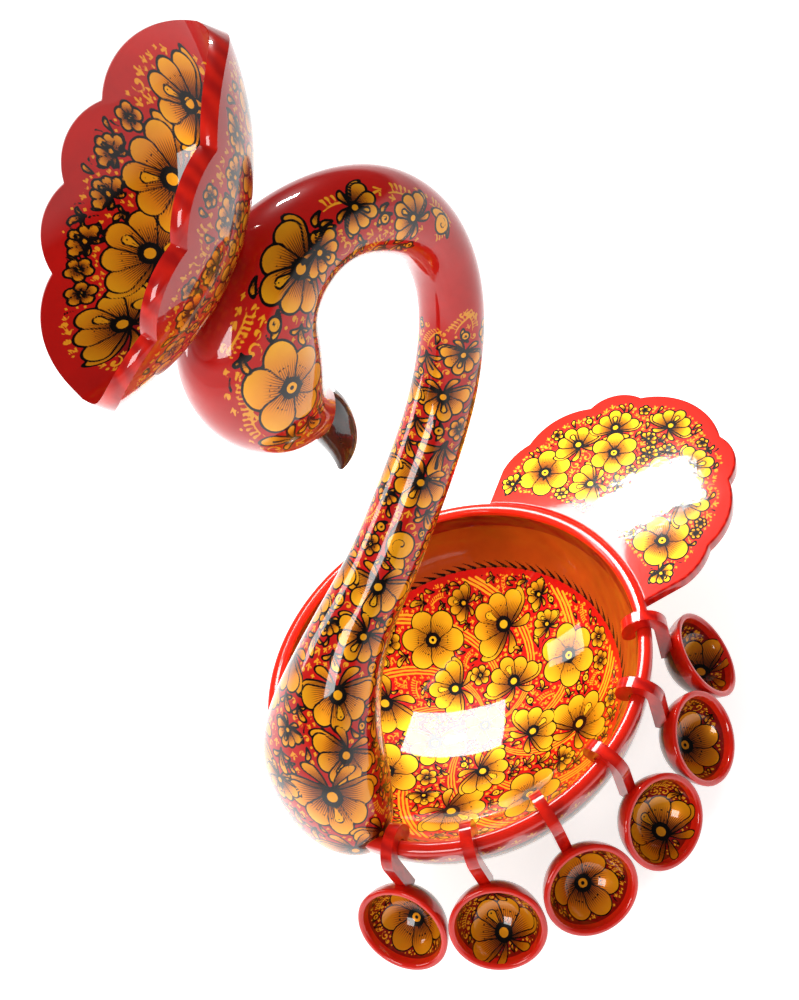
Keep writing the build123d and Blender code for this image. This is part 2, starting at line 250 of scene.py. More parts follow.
    def motif(self, kind, c, r, angle):
        side = 1 if self.rng.random() < 0.5 else -1
        if kind == "flower":
            self.flower(c, r, int(self.rng.integers(5, 7)), angle)
        elif kind == "fan":
            self.fan(self.at(c, -r * 0.3, angle), angle, r)
        elif kind == "leaf":
            self.leaf(self.at(c, -r * 0.85, angle), angle, r * 0.95)
        elif kind == "snail":
            self.snail(c, angle, r, side)
        elif kind == "petal":
            self.petal(self.at(c, -r * 0.9, angle), angle, r * 1.8, r * 0.9, bend=side * 0.3, lines=2)
        elif kind == "berry":
            self.berry(c, r * 0.9)
        elif kind == "frond":
            self.frond(self.at(c, -r * 0.8, angle), angle, r * 1.5, side, self.line)
        elif kind == "dark":
            self.comma(self.at(c, -r * 0.8, angle), angle, r * 1.6, self.black, side * 0.5)
        elif kind == "curl":
            self.curl(c, r * 0.9, angle, side, self.line)
        elif kind == "sprig":
            self.sprig(c, angle, r * 0.95, self.line)
        else:
            self.dot(c, min(r * 0.5, 0.9), self.line)

    def fill(self, kind, least, most, tries, flow):
        """Puts motifs wherever the ground is still free, largest gaps first; flow gives their direction."""
        missed = 0
        for _ in range(tries):
            pick = self.rng.integers(0, self.x.size, 200)
            taken = np.maximum(np.maximum(self.gold[pick], self.line[pick]), self.black[pick])
            room = np.minimum(-taken, self.edge[pick])
            best = int(np.argmax(room))
            if room[best] < least:
                missed += 1
                if missed > 6:
                    return
                continue
            c = (float(self.x[pick[best]]), float(self.y[pick[best]]))
            self.motif(kind, c, min(float(room[best]) * 0.97, most), flow(c) + self.rng.uniform(-0.6, 0.6))

    def fill_all(self, flow, flowers=0.0):
        """Dense khokhloma filling: flowers of up to the given radius, then leaves, curls and sprigs."""
        if flowers:
            self.fill("fan", flowers * 0.75, flowers, 24, flow)
            self.fill("flower", flowers * 0.5, flowers * 0.75, 16, flow)
        self.fill("frond", 5.4, 9.0, 14, flow)
        self.fill("leaf", 5.0, 9.0, 120, flow)
        self.fill("snail", 4.2, 7.0, 50, flow)
        self.fill("curl", 3.6, 5.5, 40, flow)
        self.fill("leaf", 3.4, 5.0, 90, flow)
        self.fill("petal", 2.6, 4.2, 90, flow)
        self.fill("sprig", 2.0, 3.6, 120, flow)
        self.fill("dark", 1.9, 3.0, 40, flow)
        self.fill("curl", 1.7, 3.0, 120, flow)
        self.fill("sprig", 1.2, 2.4, 300, flow)
        self.fill("dot", 1.0, 1.6, 90, flow)

    def colors(self):
        a = np.stack([self.gold, self.fade, self.hatch, self.line], 1)
        b = np.stack([self.black, self.zone, self.band, np.ones(self.x.size)], 1)
        return a, b


# ---------------------------------------------------------------- meshes
class Skin:
    """A mesh of painted grids, with one material slot per grid and its own place in the UV square."""

    def __init__(self):
        self.verts, self.faces, self.slots, self.paint_a, self.paint_b, self.uvs = [], [], [], [], [], []
        self.count = 0

    def grid(self, p, wrap=False, paint=None, flip=False, slot=0, room=(0.0, 0.0, 1.0, 1.0), uv=None):
        ni, nj = p.shape[:2]
        i, j = np.meshgrid(np.arange(ni - 1), np.arange(nj if wrap else nj - 1), indexing="ij")
        corners = [(i, j), (i + 1, j), (i + 1, j + 1), (i, j + 1)]
        if flip:
            corners = corners[::-1]
        quad = np.stack([a * nj + b % nj for a, b in corners], -1).reshape(-1, 4)
        if uv is None:
            across = nj if wrap else nj - 1
            u = np.stack([a / (ni - 1) for a, b in corners], -1).reshape(-1, 4)
            v = np.stack([b / across for a, b in corners], -1).reshape(-1, 4)
        else:
            flat = uv.reshape(-1, 2)
            u, v = flat[quad, 0], flat[quad, 1]
        u0, v0, u1, v1 = room
        self.uvs.append(np.stack([u0 + (u1 - u0) * u, v0 + (v1 - v0) * v], -1).reshape(-1, 2))
        self.faces.append(quad + self.count)
        self.slots.append(np.full(len(quad), slot))
        self.verts.append(p.reshape(-1, 3))
        self.count += ni * nj
        bare = [np.tile(row, (ni * nj, 1)) for row in ([FAR, 0.0, 0.0, FAR], [FAR, 0.0, 0.0, 1.0])]
        a, b = paint.colors() if paint is not None else bare
        self.paint_a.append(a)
        self.paint_b.append(b)

    def make(self, name, materials, body, nodes):
        co = (np.concatenate(self.verts) * MM).astype(np.float32)
        quads = np.concatenate(self.faces).astype(np.int32)
        me = bpy.data.meshes.new(name)
        me.vertices.add(len(co))
        me.vertices.foreach_set("co", co.ravel())
        me.loops.add(quads.size)
        me.loops.foreach_set("vertex_index", quads.ravel())
        me.polygons.add(len(quads))
        me.polygons.foreach_set("loop_start", np.arange(0, quads.size, 4, dtype=np.int32))
        me.polygons.foreach_set("loop_total", np.full(len(quads), 4, dtype=np.int32))
        me.update(calc_edges=True)
        for m in materials:
            me.materials.append(m)
        me.polygons.foreach_set("material_index", np.concatenate(self.slots).astype(np.int32))
        me.polygons.foreach_set("use_smooth", np.ones(len(quads), dtype=bool))
        layer = me.uv_layers.new(name="OFBake")
        layer.data.foreach_set("uv", np.concatenate(self.uvs).astype(np.float32).ravel())
        for key, data in (("brush_a", self.paint_a), ("brush_b", self.paint_b)):
            at = me.attributes.new(key, "FLOAT_COLOR", "POINT")
            at.data.foreach_set("color", np.concatenate(data).astype(np.float32).ravel())
        me.validate()
        ob = bpy.data.objects.new(name, me)
        bpy.context.scene.collection.objects.link(ob)
        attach(ob, body)
        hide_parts(*nodes)
        return ob


def arc(cx, cz, r, start, end, n):
    t = np.radians(np.linspace(start, end, n))
    return np.stack([cx + r * np.cos(t), cz + r * np.sin(t)], 1)


def even(points, step):
    """The polyline resampled at even steps, with the arc length at each point."""
    run = np.concatenate([[0], np.cumsum(np.hypot(*np.diff(points, axis=0).T))])
    s = np.linspace(0, run[-1], max(int(run[-1] / step), 2) + 1)
    return np.stack([np.interp(s, run, points[:, 0]), np.interp(s, run, points[:, 1])], 1), s


def turned(profile, n, stretch=1.0):
    """The (radius, height) profile turned about Z."""
    t = np.linspace(0, TAU, n, endpoint=False)[None]
    r, z = profile[:, :1], profile[:, 1:]
    return np.stack([r * np.cos(t) * stretch, r * np.sin(t), np.repeat(z, n, 1)], -1)


def spline(t, y, at):
    """Natural cubic spline through the rows of y."""
    n = len(t)
    h = np.diff(t)
    m = np.eye(n)
    rhs = np.zeros_like(y)
    for i in range(1, n - 1):
        m[i, i - 1:i + 2] = h[i - 1], 2 * (h[i - 1] + h[i]), h[i]
        rhs[i] = 3 * ((y[i + 1] - y[i]) / h[i] - (y[i] - y[i - 1]) / h[i - 1])
    c = np.linalg.solve(m, rhs)
    k = np.clip(np.searchsorted(t, at) - 1, 0, n - 2)
    hk = h[k][:, None]
    b = (y[k + 1] - y[k]) / hk - hk * (2 * c[k] + c[k + 1]) / 3
    d = (c[k + 1] - c[k]) / (3 * hk)
    x = (at - t[k])[:, None]
    return y[k] + b * x + c[k] * x ** 2 + d * x ** 3


# ---------------------------------------------------------------- materials
class Nodes:
    """A material's node tree; inputs are values or other nodes' sockets."""

    def __init__(self, name):
        self.material = bpy.data.materials.new(name)
        self.material.use_nodes = True
        self.tree = self.material.node_tree
        self.tree.nodes.clear()

    def new(self, kind, inputs=None, **props):
        node = self.tree.nodes.new("ShaderNode" + kind)
        for key, value in props.items():
            setattr(node, key, value)
        for key, value in (inputs or {}).items():
            if isinstance(value, bpy.types.NodeSocket):
                self.tree.links.new(value, node.inputs[key])
            else:
                node.inputs[key].default_value = value
        return node

    def math(self, op, *args):
        return self.new("Math", dict(enumerate(args)), operation=op).outputs[0]

    def step(self, value, edge, soft):
        return self.ramp(value, edge - soft, edge + soft, 0.0, 1.0, "SMOOTHSTEP")

    def ramp(self, value, a, b, to_a, to_b, kind="LINEAR"):
        span = {0: value, 1: a, 2: b, 3: to_a, 4: to_b}
        return self.new("MapRange", span, interpolation_type=kind).outputs[0]

    def mix(self, factor, a, b):
        a, b = (c if isinstance(c, bpy.types.NodeSocket) else (*c, 1.0) for c in (a, b))
        return self.new("Mix", {0: factor, 6: a, 7: b}, data_type="RGBA").outputs[2]

    def noise(self, scale, detail=4.0):
        spot = self.new("TexCoord").outputs["Object"]
        inputs = {"Vector": spot, "Scale": scale, "Detail": detail, "Roughness": 0.6}
        return self.new("TexNoise", inputs).outputs[0]

    def lacquered(self, color, metallic, rough, relief, waviness, ripple=0.15, haze=0.03):
        """A hard clear coat, slightly wavy, over the given paint."""
        bump = self.new("Bump", {"Strength": 0.3, "Distance": 0.0002, "Height": relief}).outputs[0]
        wave = self.new("Bump", {"Strength": ripple, "Distance": 0.0004, "Height": waviness}).outputs[0]
        shader = self.new("BsdfPrincipled", {
            "Base Color": color, "Metallic": metallic, "Roughness": rough, "Normal": bump,
            "Specular IOR Level": 0.1, "Coat Weight": 1.0, "Coat Roughness": haze, "Coat IOR": 1.5,
            "Coat Normal": wave})
        self.new("OutputMaterial", {0: shader.outputs[0]})
        return self.material


def srgb(code):
    c = [int(code[i:i + 2], 16) / 255 for i in (0, 2, 4)]
    return tuple(x / 12.92 if x <= 0.04045 else ((x + 0.055) / 1.055) ** 2.4 for x in c)


RED, SIGNAL, DARK_RED, BLACK = srgb("CC120A"), srgb("E2200E"), srgb("8A0A0A"), srgb("0A0403")
LINE, WALL, SOOT, AMBER = srgb("F7A41E"), srgb("A8400C"), srgb("2C0904"), srgb("8E4A12")
GOLD = (("5E2406", 0.04), ("A2550A", 0.3), ("E0900E", 0.58), ("FCC41E", 1.0))
HATCH, HATCH_DEPTH = srgb("220A03"), 0.88
PAINT_ROUGH, GOLD_ROUGH, GOLD_METAL = 0.32, 0.38, 0.3


def painted(name, ground, other=None, edging=None, outline=0.5, ripple=0.15, haze=0.03,
            gold_painted_light_shade=(1.0, 1.0, 1.0)):
    """Brushwork on a ground colour: yellow lines, gold shapes hatched at the root and outlined in black.

    other and edging are the grounds in the canvas's zone and band, outline is how far in mm the black
    reaches past the gold, ripple and haze are the clear coat's waves and roughness. The last argument
    scales the gold's colour for the whole piece: painted shade where it darkens the gold, painted light
    where it brightens it.
    """
    g = Nodes(name)
    a = g.new("Attribute", attribute_name="brush_a")
    b = g.new("Attribute", attribute_name="brush_b")
    gold_d, fade, hatch = g.new("SeparateColor", {0: a.outputs["Color"]}).outputs
    black_d, zone, band = g.new("SeparateColor", {0: b.outputs["Color"]}).outputs
    blotch, fine = g.noise(26.0), g.noise(420.0, 3.0)
    shake = g.math("MULTIPLY", g.math("SUBTRACT", fine, 0.5), 0.4)
    gold_w = g.math("ADD", gold_d, shake)
    base = ground
    if other is not None:
        base = g.mix(g.step(zone, 0.0, 0.15), base, other)
    if edging is not None:
        base = g.mix(g.step(band, 0.0, 0.15), base, edging)
    tone = g.ramp(blotch, 0.3, 0.7, 0.8, 1.12)
    base = g.new("VectorMath", {0: base, 3: tone}, operation="SCALE").outputs[0]
    shade = g.math("ADD", fade, g.math("MULTIPLY", g.math("SUBTRACT", blotch, 0.5), 0.5))
    ramp = g.new("ValToRGB", {0: shade})
    stops = ramp.color_ramp.elements
    for stop, (code, place) in zip((stops[0], stops[1]), (GOLD[0], GOLD[-1])):
        stop.position, stop.color = place, (*srgb(code), 1.0)
    for code, place in GOLD[1:-1]:
        stops.new(place).color = (*srgb(code), 1.0)
    # the gold ramp times the piece's factor of painted light and shade
    gold_with_painted_light = g.new("VectorMath", {0: ramp.outputs[0], 1: gold_painted_light_shade}, operation="MULTIPLY").outputs[0]
    wave = g.math("SINE", g.math("MULTIPLY", hatch, TAU))
    limit = g.math("SUBTRACT", g.math("MULTIPLY", fade, 2.6), 0.75)
    lines = g.step(g.math("SUBTRACT", wave, limit), 0.0, 0.22)
    gold = g.mix(g.math("MULTIPLY", lines, HATCH_DEPTH), gold_with_painted_light, HATCH)
    on_line = g.step(g.math("ADD", a.outputs["Alpha"], shake), 0.0, 0.14)
    on_edge = g.step(gold_w, -outline, 0.15)
    on_gold = g.step(gold_w, outline * 0.8, 0.15)
    on_black = g.step(g.math("ADD", black_d, shake), 0.0, 0.14)
    color = g.mix(on_line, base, LINE)
    color = g.mix(on_edge, color, BLACK)
    color = g.mix(on_gold, color, gold)
    color = g.mix(on_black, color, BLACK)
    shine = g.math("MULTIPLY", g.math("SUBTRACT", on_gold, on_black), GOLD_METAL)
    raised = g.math("MULTIPLY", g.math("MAXIMUM", on_edge, on_line), 0.6)
    relief = g.math("ADD", raised, g.math("MULTIPLY", fine, 0.5))
    rough = g.ramp(on_gold, 0.0, 1.0, PAINT_ROUGH, GOLD_ROUGH)
    return g.lacquered(color, g.math("MAXIMUM", shine, 0.0), rough, relief, blotch, ripple, haze)


def plain(name, light, dark, scale, rough=0.3, coat=1.0):
    """One colour with brush and grain variation."""
    g = Nodes(name)
    spot = g.new("TexCoord").outputs["Object"]
    blotch = g.noise(scale)
    grain = g.new("TexWave", {"Vector": spot, "Scale": 45.0, "Distortion": 7.0, "Detail": 3.0}).outputs[1]
    mixed = g.math("ADD", g.math("MULTIPLY", blotch, 0.7), g.math("MULTIPLY", grain, 0.3))
    color = g.mix(g.ramp(mixed, 0.3, 0.72, 0.0, 1.0), dark, light)
    material = g.lacquered(color, 0.0, rough, grain, blotch)
    material.node_tree.nodes["Principled BSDF"].inputs["Coat Weight"].default_value = coat
    return material


inside_paint = painted("bowl_inside_paint", RED, WALL, DARK_RED)
outside_paint = painted("bowl_outside_paint", SOOT, RED, SIGNAL)
# the last argument sets painted light and shade on the gold: darker gold on the neck, crest and cups as
# painted shade, brighter gold on the tail as painted light
neck_paint = painted("neck_paint", RED, outline=0.6, gold_painted_light_shade=(1.04, 0.81, 0.6))
# the crest's second ground, a darker red, is painted shade round the keel of its hollow
crest_paint = painted("crest_paint", RED, DARK_RED, gold_painted_light_shade=(1.0, 0.78, 0.6))
tail_paint = painted("tail_paint", SIGNAL, outline=0.6, ripple=0.5, haze=0.07, gold_painted_light_shade=(1.1, 1.12, 1.0))
cup_paint = painted("cup_paint", DARK_RED, AMBER, SIGNAL, gold_painted_light_shade=(0.95, 0.68, 0.5))
red_lacquer = plain("red_lacquer", SIGNAL, srgb("B0100C"), 30.0)
beak_lacquer = plain("black_brown_lacquer", srgb("34100A"), srgb("0C0302"), 60.0)
bare_wood = plain("bare_limewood", srgb("D9B98A"), srgb("B58E5C"), 25.0, 0.6, 0.0)


# ---------------------------------------------------------------- bowl
def swirl(c):
    return atan2(c[1], c[0]) + 1.2


def bowl_inside():
    """The hollow up to the rim: a wreath of flowers, a ring of grass strokes, a plain amber wall."""
    t = np.linspace(-pi / 2, -0.05, 400)
    profile, s = even(np.stack([INNER_R * np.cos(t), RIM_Z + HOLLOW_DEPTH * np.sin(t)], 1), 0.85)
    profile[0, 0] = 0.01
    n = 820
    p = turned(profile, n, STRETCH)
    turn = np.linspace(0, TAU, n, endpoint=False)[None]
    x, y = s[:, None] * np.cos(turn), s[:, None] * np.sin(turn)
    reach = np.repeat(s[:, None], n, 1)
    ring = float(np.interp(57.0, profile[:, 1], s))
    cv = Canvas(x, y, ring - 3.0 - reach, 11, zone=reach - ring, band=reach - (s[-1] - 10.0))
    for k in range(27):
        a = (k // 3) * TAU / 9 + 0.05 * (k % 3 - 1)
        stem = [(q * cos(a + 0.014 * q), q * sin(a + 0.014 * q)) for q in np.linspace(14, ring - 6, 14)]
        cv.stroke(stem, 0.3, 0.9, cv.line)
    for k in range(8):
        a = k * TAU / 8 + 0.5
        if k % 2:
            cv.flower((75 * cos(a), 75 * sin(a)), 23, 6, a, 0.2)
        else:
            cv.fan((72 * cos(a), 72 * sin(a)), a + 1.2, 27)
    for k in range(5):
        a = k * TAU / 5 + 0.1
        cv.fan((35 * cos(a), 35 * sin(a)), a + 1.0, 21)
    cv.flower((0.0, 0.0), 15, 7, 0.2, 0.2)
    cv.fill_all(swirl, 14)
    for k in range(84):
        a = k * TAU / 84
        blade = [((ring + q) * cos(a + 0.016 * q), (ring + q) * sin(a + 0.016 * q))
                 for q in (0.6, 2.0, 3.6, 5.6)]
        cv.stroke(blade, 1.1, 0.3, cv.black)
        b = (k + 1) * TAU / 84
        cv.stroke([((ring + 0.6) * cos(q), (ring + 0.6) * sin(q)) for q in (a, b)], 0.4, 0.4, cv.black)
    skin = Skin()
    flat = np.stack([x, y], -1) / (2.02 * s[-1]) + 0.5
    skin.grid(p, wrap=True, paint=cv, flip=True, uv=flat)
    return skin.make("bowl_hollow_skin", [inside_paint], "swan", ["bowl"])


def bowl_outside():
    """Rim, belly and foot: a red rim with sprigs, then gold leaves on a sooty ground."""
    inner = RIM_Z + HOLLOW_DEPTH * sin(-0.05)
    crown = np.concatenate([[(INNER_R * cos(0.05), inner)],
                            arc(INNER_R + RIM_ROUND, RIM_Z - RIM_ROUND, RIM_ROUND, 178, 90, 10),
                            arc(RIM_R - RIM_ROUND, RIM_Z - RIM_ROUND, RIM_ROUND, 90, 2, 10)])
    t = np.linspace(-0.045, -asin(sqrt(1 - (FOOT_R / RIM_R) ** 2)), 200)
    belly = np.stack([RIM_R * np.cos(t), RIM_Z + BELLY_DEPTH * np.sin(t)], 1)
    profile, s = even(np.concatenate([crown, belly]), 1.0)
    n = 760
    turn = np.linspace(0, TAU, n, endpoint=False)[None]
    reach = np.repeat(s[:, None], n, 1)
    edge = np.minimum(reach - 29, s[-1] - 8 - reach)
    cv = Canvas(reach, np.repeat(turn, len(s), 0), edge, 5, radius=lambda q: np.interp(q, s, profile[:, 0]),
                zone=27 - reach, band=15 - reach)
    for k in range(80):
        cv.sprig((22.0, k * TAU / 80), pi, 4.0, cv.line)
    for k in range(14):
        a = k * TAU / 14
        cv.fan((72.0, a), pi, 27)
        cv.flower((104.0, a + 0.2), 17, 6, a)
    cv.fill_all(lambda c: pi + 0.5, 10)
    skin = Skin()
    skin.grid(turned(profile, n, STRETCH), wrap=True, paint=cv, flip=True, room=(0.0, 0.0, 0.8, 1.0))
    low = profile[-1, 1]
    foot = np.array([(FOOT_R, low), (FOOT_R, 1.2), (FOOT_R - 0.4, 0.4), (FOOT_R - 1.2, 0.0),
                     (24.0, 0.0), (0.01, 0.0)])
    skin.grid(turned(foot, 180, STRETCH), wrap=True, flip=True, slot=1, room=(0.82, 0.0, 1.0, 1.0))
    return skin.make("bowl_belly_skin", [outside_paint, red_lacquer], "swan", ["bowl"])


# ---------------------------------------------------------------- neck and head
def crest_axes():
    along = np.array([cos(CREST_TILT), 0.0, sin(CREST_TILT)])
    up = np.array([-sin(CREST_TILT), 0.0, cos(CREST_TILT)])
    return np.array([FRONT_X + CREST_CENTRE[0], 0.0, RIM_Z + CREST_CENTRE[1]]), along, up


SHELL_UP = SHELL_D - CREST_KEEL
SHELL_A = CREST_HALF_L / sqrt(1 - (SHELL_UP / SHELL_D) ** 2)
SHELL_B = WING_HALF_WIDTH / sqrt(1 - ((SHELL_UP - WING_RISE) / SHELL_D) ** 2)


def neck():
    x, z, depth, width = np.array(list(NECK.values())).T
    x, z = x + FRONT_X, z + RIM_Z
    t = np.concatenate([[0], np.cumsum(np.hypot(np.diff(x), np.diff(z)))])
    tx = np.concatenate([[x[1] - x[0]], x[2:] - x[:-2], [x[-1] - x[-2]]])
    tz = np.concatenate([[z[1] - z[0]], z[2:] - z[:-2], [z[-1] - z[-2]]])
    rows = np.stack([x, z, depth, width, -tz / np.hypot(tx, tz), tx / np.hypot(tx, tz)], 1)
    s = np.linspace(0, t[-1], int(t[-1] / 0.8))
    ring = spline(t, rows, s)
    norm = np.hypot(ring[:, 4], ring[:, 5])
    nx, nz = ring[:, 4] / norm, ring[:, 5] / norm
    n = 236
    turn = np.linspace(0, TAU, n, endpoint=False)[None]
    out, side = ring[:, 2:3] * np.cos(turn), ring[:, 3:4] * np.sin(turn)
    p = np.stack([ring[:, :1] + nx[:, None] * out, side, ring[:, 1:2] + nz[:, None] * out], -1)
    # the head is hollowed to the crest's shell
    origin, along, up = crest_axes()
    q = p - origin
    u, h = q @ along, q @ up
    bowl = 1 - (u / SHELL_A) ** 2 - (p[..., 1] / SHELL_B) ** 2
    floor = SHELL_UP - SHELL_D * np.sqrt(np.clip(bowl, 0, 1))
    sunk = (bowl > 0) & (h > floor - 0.1) & (h < SHELL_UP)
    p = p + np.where(sunk, floor - 0.1 - h, 0)[..., None] * up
    girth = (ring[:, 2] + ring[:, 3]) / 2
    at = dict(zip(NECK, t))
    S = np.repeat(s[:, None], n, 1)
    T = np.repeat(turn, len(s), 0)
    flank = girth[:, None] * (radians(56) - np.abs((np.abs(T - pi) - pi / 2)))
    low = (at["rise"] + 20 - S)
    head = np.minimum(np.minimum(S - at["arch_turn"] - 18, at["bill_seat"] - 16 - S), flank)
    cv = Canvas(S, T, np.maximum(low, head) - 1.0, 3, radius=lambda q: np.interp(q, s, girth))
    for sgn in (-1, 1):
        cv.flower((at["cheek"] - 17, sgn * radians(90)), 22, 6, 0.3, 0.3)
        for station, shift, angle, r, lean, turn in (
                ("cheek", 0, 126, 15, 2.7, 1), ("skull", 4, 124, 14, 0.5, -1),
                ("brow", 10, 134, 13, -0.3, 1), ("arch_fore", 4, 134, 15, 2.9, 1),
                ("arch_top", 8, 128, 15, 3.0, 1), ("arch_top", -14, 122, 14, 3.1, 1),
                ("arch_top", -22, 84, 12, 2.6, -1), ("rise", 14, 52, 14, 0.3, 1),
                ("rise", 14, 84, 12, 0.2, -1)):
            cv.frond((at[station] + shift, sgn * radians(angle)), sgn * lean, r, sgn * turn, cv.line)
        for station, shift, angle, r, kind, lean in (
                ("brow", -6, 112, 20, "fan", 0.5), ("arch_fore", -10, 118, 12, "fan", -2.6),
                ("arch_fore", 14, 98, 11, "fan", -2.0), ("arch_top", -2, 100, 13, "fan", 0.4),
                ("arch_top", -24, 104, 9, "snail", 0.5), ("cheek", 6, 116, 9, "leaf", 2.6),
                ("rise", -2, 66, 13, "fan", 3.4), ("back", 16, 46, 16, "fan", 2.9),
                ("back", -16, 58, 13, "leaf", 3.5), ("middle", 10, 46, 18, "fan", 3.4),
                ("middle", -24, 54, 15, "snail", 2.8), ("sweep", -10, 48, 20, "fan", 3.0),
                ("nape", -2, 54, 17, "fan", 3.5), ("nape_low", -6, 50, 23, "fan", 2.8),
                ("root", -6, 62, 21, "fan", 3.5), ("shoulder", -2, 52, 29, "fan", 3.0),
                ("rim_saddle", -6, 88, 22, "fan", 3.6), ("breast", 14, 60, 24, "fan", 3.1)):
            cv.motif(kind, (at[station] + shift, sgn * radians(angle)), r, sgn * lean)
    for station, r in (("breast", 18), ("shoulder", 20), ("root", 15), ("nape", 12), ("middle", 11)):
        cv.fan((at[station], 0.0), pi, r * 0.7)
        cv.fan((at[station], pi), pi, r)
    cv.fill_all(lambda c: pi if c[0] < at["rise"] else 0.0, 9)
    skin = Skin()
    skin.grid(p, wrap=True, paint=cv, flip=True, room=(0.0, 0.0, 0.97, 1.0))
    for k, turn_over in ((0, False), (-1, True)):
        cap = np.stack([p[k].mean(0) + (p[k] - p[k].mean(0)) * f for f in (1.0, 0.6, 0.02)])
        skin.grid(cap, wrap=True, flip=turn_over, slot=1, room=(0.98, 0.0, 1.0, 0.5))
    return skin.make("neck_skin", [neck_paint, red_lacquer], "swan", ["neck_and_head"])


# ---------------------------------------------------------------- crest
def wing_outline(n):
    """Points (u, s) of a wing's scalloped edge in its slope."""
    def on_edge(angle, reach):
        a = radians(angle)
        return np.array([CREST_HALF_L * reach * cos(a), CREST_WING * reach * sin(a)])
    parts = []
    for a, b in zip(LOBE_CUSPS, LOBE_CUSPS[1:]):
        p = on_edge(a, 1.0 if a == 0 else LOBE_IN)
        q = on_edge(b, 1.0 if b == 180 else LOBE_IN)
        parts.append(circle_through(p, on_edge((a + b) / 2, LOBE_OUT), q, 60)[:-1])
    parts.append([on_edge(180, 1.0)])
    return even(np.concatenate(parts), np.pi * 60 / n)[0]


def circle_through(p, m, q, n):
    """n points of the arc from p through m to q."""
    d = 2 * (p[0] * (m[1] - q[1]) + m[0] * (q[1] - p[1]) + q[0] * (p[1] - m[1]))
    pp, mm, qq = p @ p, m @ m, q @ q
    c = np.array([pp * (m[1] - q[1]) + mm * (q[1] - p[1]) + qq * (p[1] - m[1]),
                  pp * (q[0] - m[0]) + mm * (p[0] - q[0]) + qq * (m[0] - p[0])]) / d
    a, b, e = (atan2(*(v - c)[::-1]) for v in (p, m, q))
    turn = (e - a) % TAU
    if (b - a) % TAU > turn:
        turn -= TAU
    t = a + np.linspace(0, turn, n)
    r = hypot(*(p - c))
    return np.stack([c[0] + r * np.cos(t), c[1] + r * np.sin(t)], 1)


def shell_height(u, v, thick):
    a, b, d = SHELL_A - thick, SHELL_B - thick, SHELL_D - thick
    return SHELL_UP - d * np.sqrt(np.clip(1 - (u / a) ** 2 - (v / b) ** 2, 0, 1))


def wing_width(u, s, thick):
    """Half width v at which the shell crosses the wing outline, 0 where it doesn't."""
    lo, hi = np.zeros_like(u), np.full_like(u, SHELL_B - thick - 0.01)
    for _ in range(40):
        v = (lo + hi) / 2
        over = v * cos(CREST_SLOPE) + shell_height(u, v, thick) * sin(CREST_SLOPE) > s
        lo, hi = np.where(over, lo, v), np.where(over, v, hi)
    return lo


def crest():
    origin, along, up = crest_axes()
    outline = wing_outline(300)
    u, s = outline.T
    n = 76
    share = np.linspace(0, 1, n)[:, None]

    def place(u, v, h):
        return origin + u[..., None] * along + v[..., None] * np.array([0, 1, 0]) + h[..., None] * up

    skin = Skin()
    edges = {}
    for thick, seed, flip in ((0.0, 21, False), (CREST_WALL, 22, True)):
        width = wing_width(u, s, thick)
        apart = width > 0.05
        cols = np.nonzero(apart)[0]
        cols = np.arange(max(cols[0] - 1, 0), min(cols[-1] + 2, len(u)))
        full = np.concatenate([-share[::-1], share[1:]])
        U = np.repeat(u[None, cols], len(full), 0)
        V = full * width[None, cols]
        H = shell_height(U, V, thick)
        keel = shell_height(U, V * 0, thick)
        Y = np.sign(V) * np.hypot(V, H - keel)
        rim = np.hypot(width[cols], shell_height(u[cols], width[cols], thick) - keel[0])
        inset = rim[None] - np.abs(Y)
        tips = CREST_HALF_L - np.abs(U)
        margin = np.minimum(inset, tips * 0.7)
        # painted shade: inside this ellipse round the keel the hollow's ground turns darker red
        keel_shade_reach = np.hypot(U / 62, Y / 24)
        cv = Canvas(U, Y, margin - (7.0 if thick else 4.0), seed, zone=(1 - keel_shade_reach) * 20 if thick else None)
        for sgn in (-1, 1):
            if thick:
                for place_u, place_y, r, a in ((-46, 16, 18, 0.2), (-16, 23, 21, -0.2),
                                               (17, 23, 22, 0.3), (47, 16, 17, -0.2)):
                    cv.fan((place_u, sgn * place_y), sgn * (pi / 2 + a), r)
                for place_u, place_y, r in ((-34, 10, 9), (-8, 10, 10), (20, 10, 10), (48, 11, 8)):
                    cv.motif("leaf", (place_u, sgn * place_y), r, sgn * 1.2)
            else:
                for k in range(6):
                    cv.flower((-52 + 21 * k, sgn * (24 if k % 2 else 30)), 10, 6, k)
        cv.fill_all(lambda c: pi / 2 if c[1] > 0 else -pi / 2, 9)
        low_half = 0.5 if thick else 0.0
        skin.grid(place(U, V, H), paint=cv, flip=flip, room=(low_half, 0.0, low_half + 0.48, 0.96))
        edges[thick] = (width, shell_height(u, width, thick))
    # sawn edge between the two skins, slightly rounded
    (v0, h0), (v1, h1) = edges[0.0], edges[CREST_WALL]
    h1 = np.where(v1 > 0.05, h1, s / sin(CREST_SLOPE))
    for sgn in (-1, 1):
        rows = []
        for f in np.linspace(0, 1, 9):
            crown = 0.9 * (1 - (2 * f - 1) ** 2)
            v, h = v0 + (v1 - v0) * f, h0 + (h1 - h0) * f
            crown_v = crown * cos(CREST_SLOPE) * (v0 > 1)
            crown_h = crown * sin(CREST_SLOPE) * (v0 > 1)
            rows.append(place(u, sgn * (v + crown_v), h + crown_h))
        skin.grid(np.stack(rows), flip=sgn < 0, slot=1, room=(0.0, 0.97, 1.0, 1.0))
    return skin.make("crest_skin", [crest_paint, red_lacquer], "swan", ["crest"])


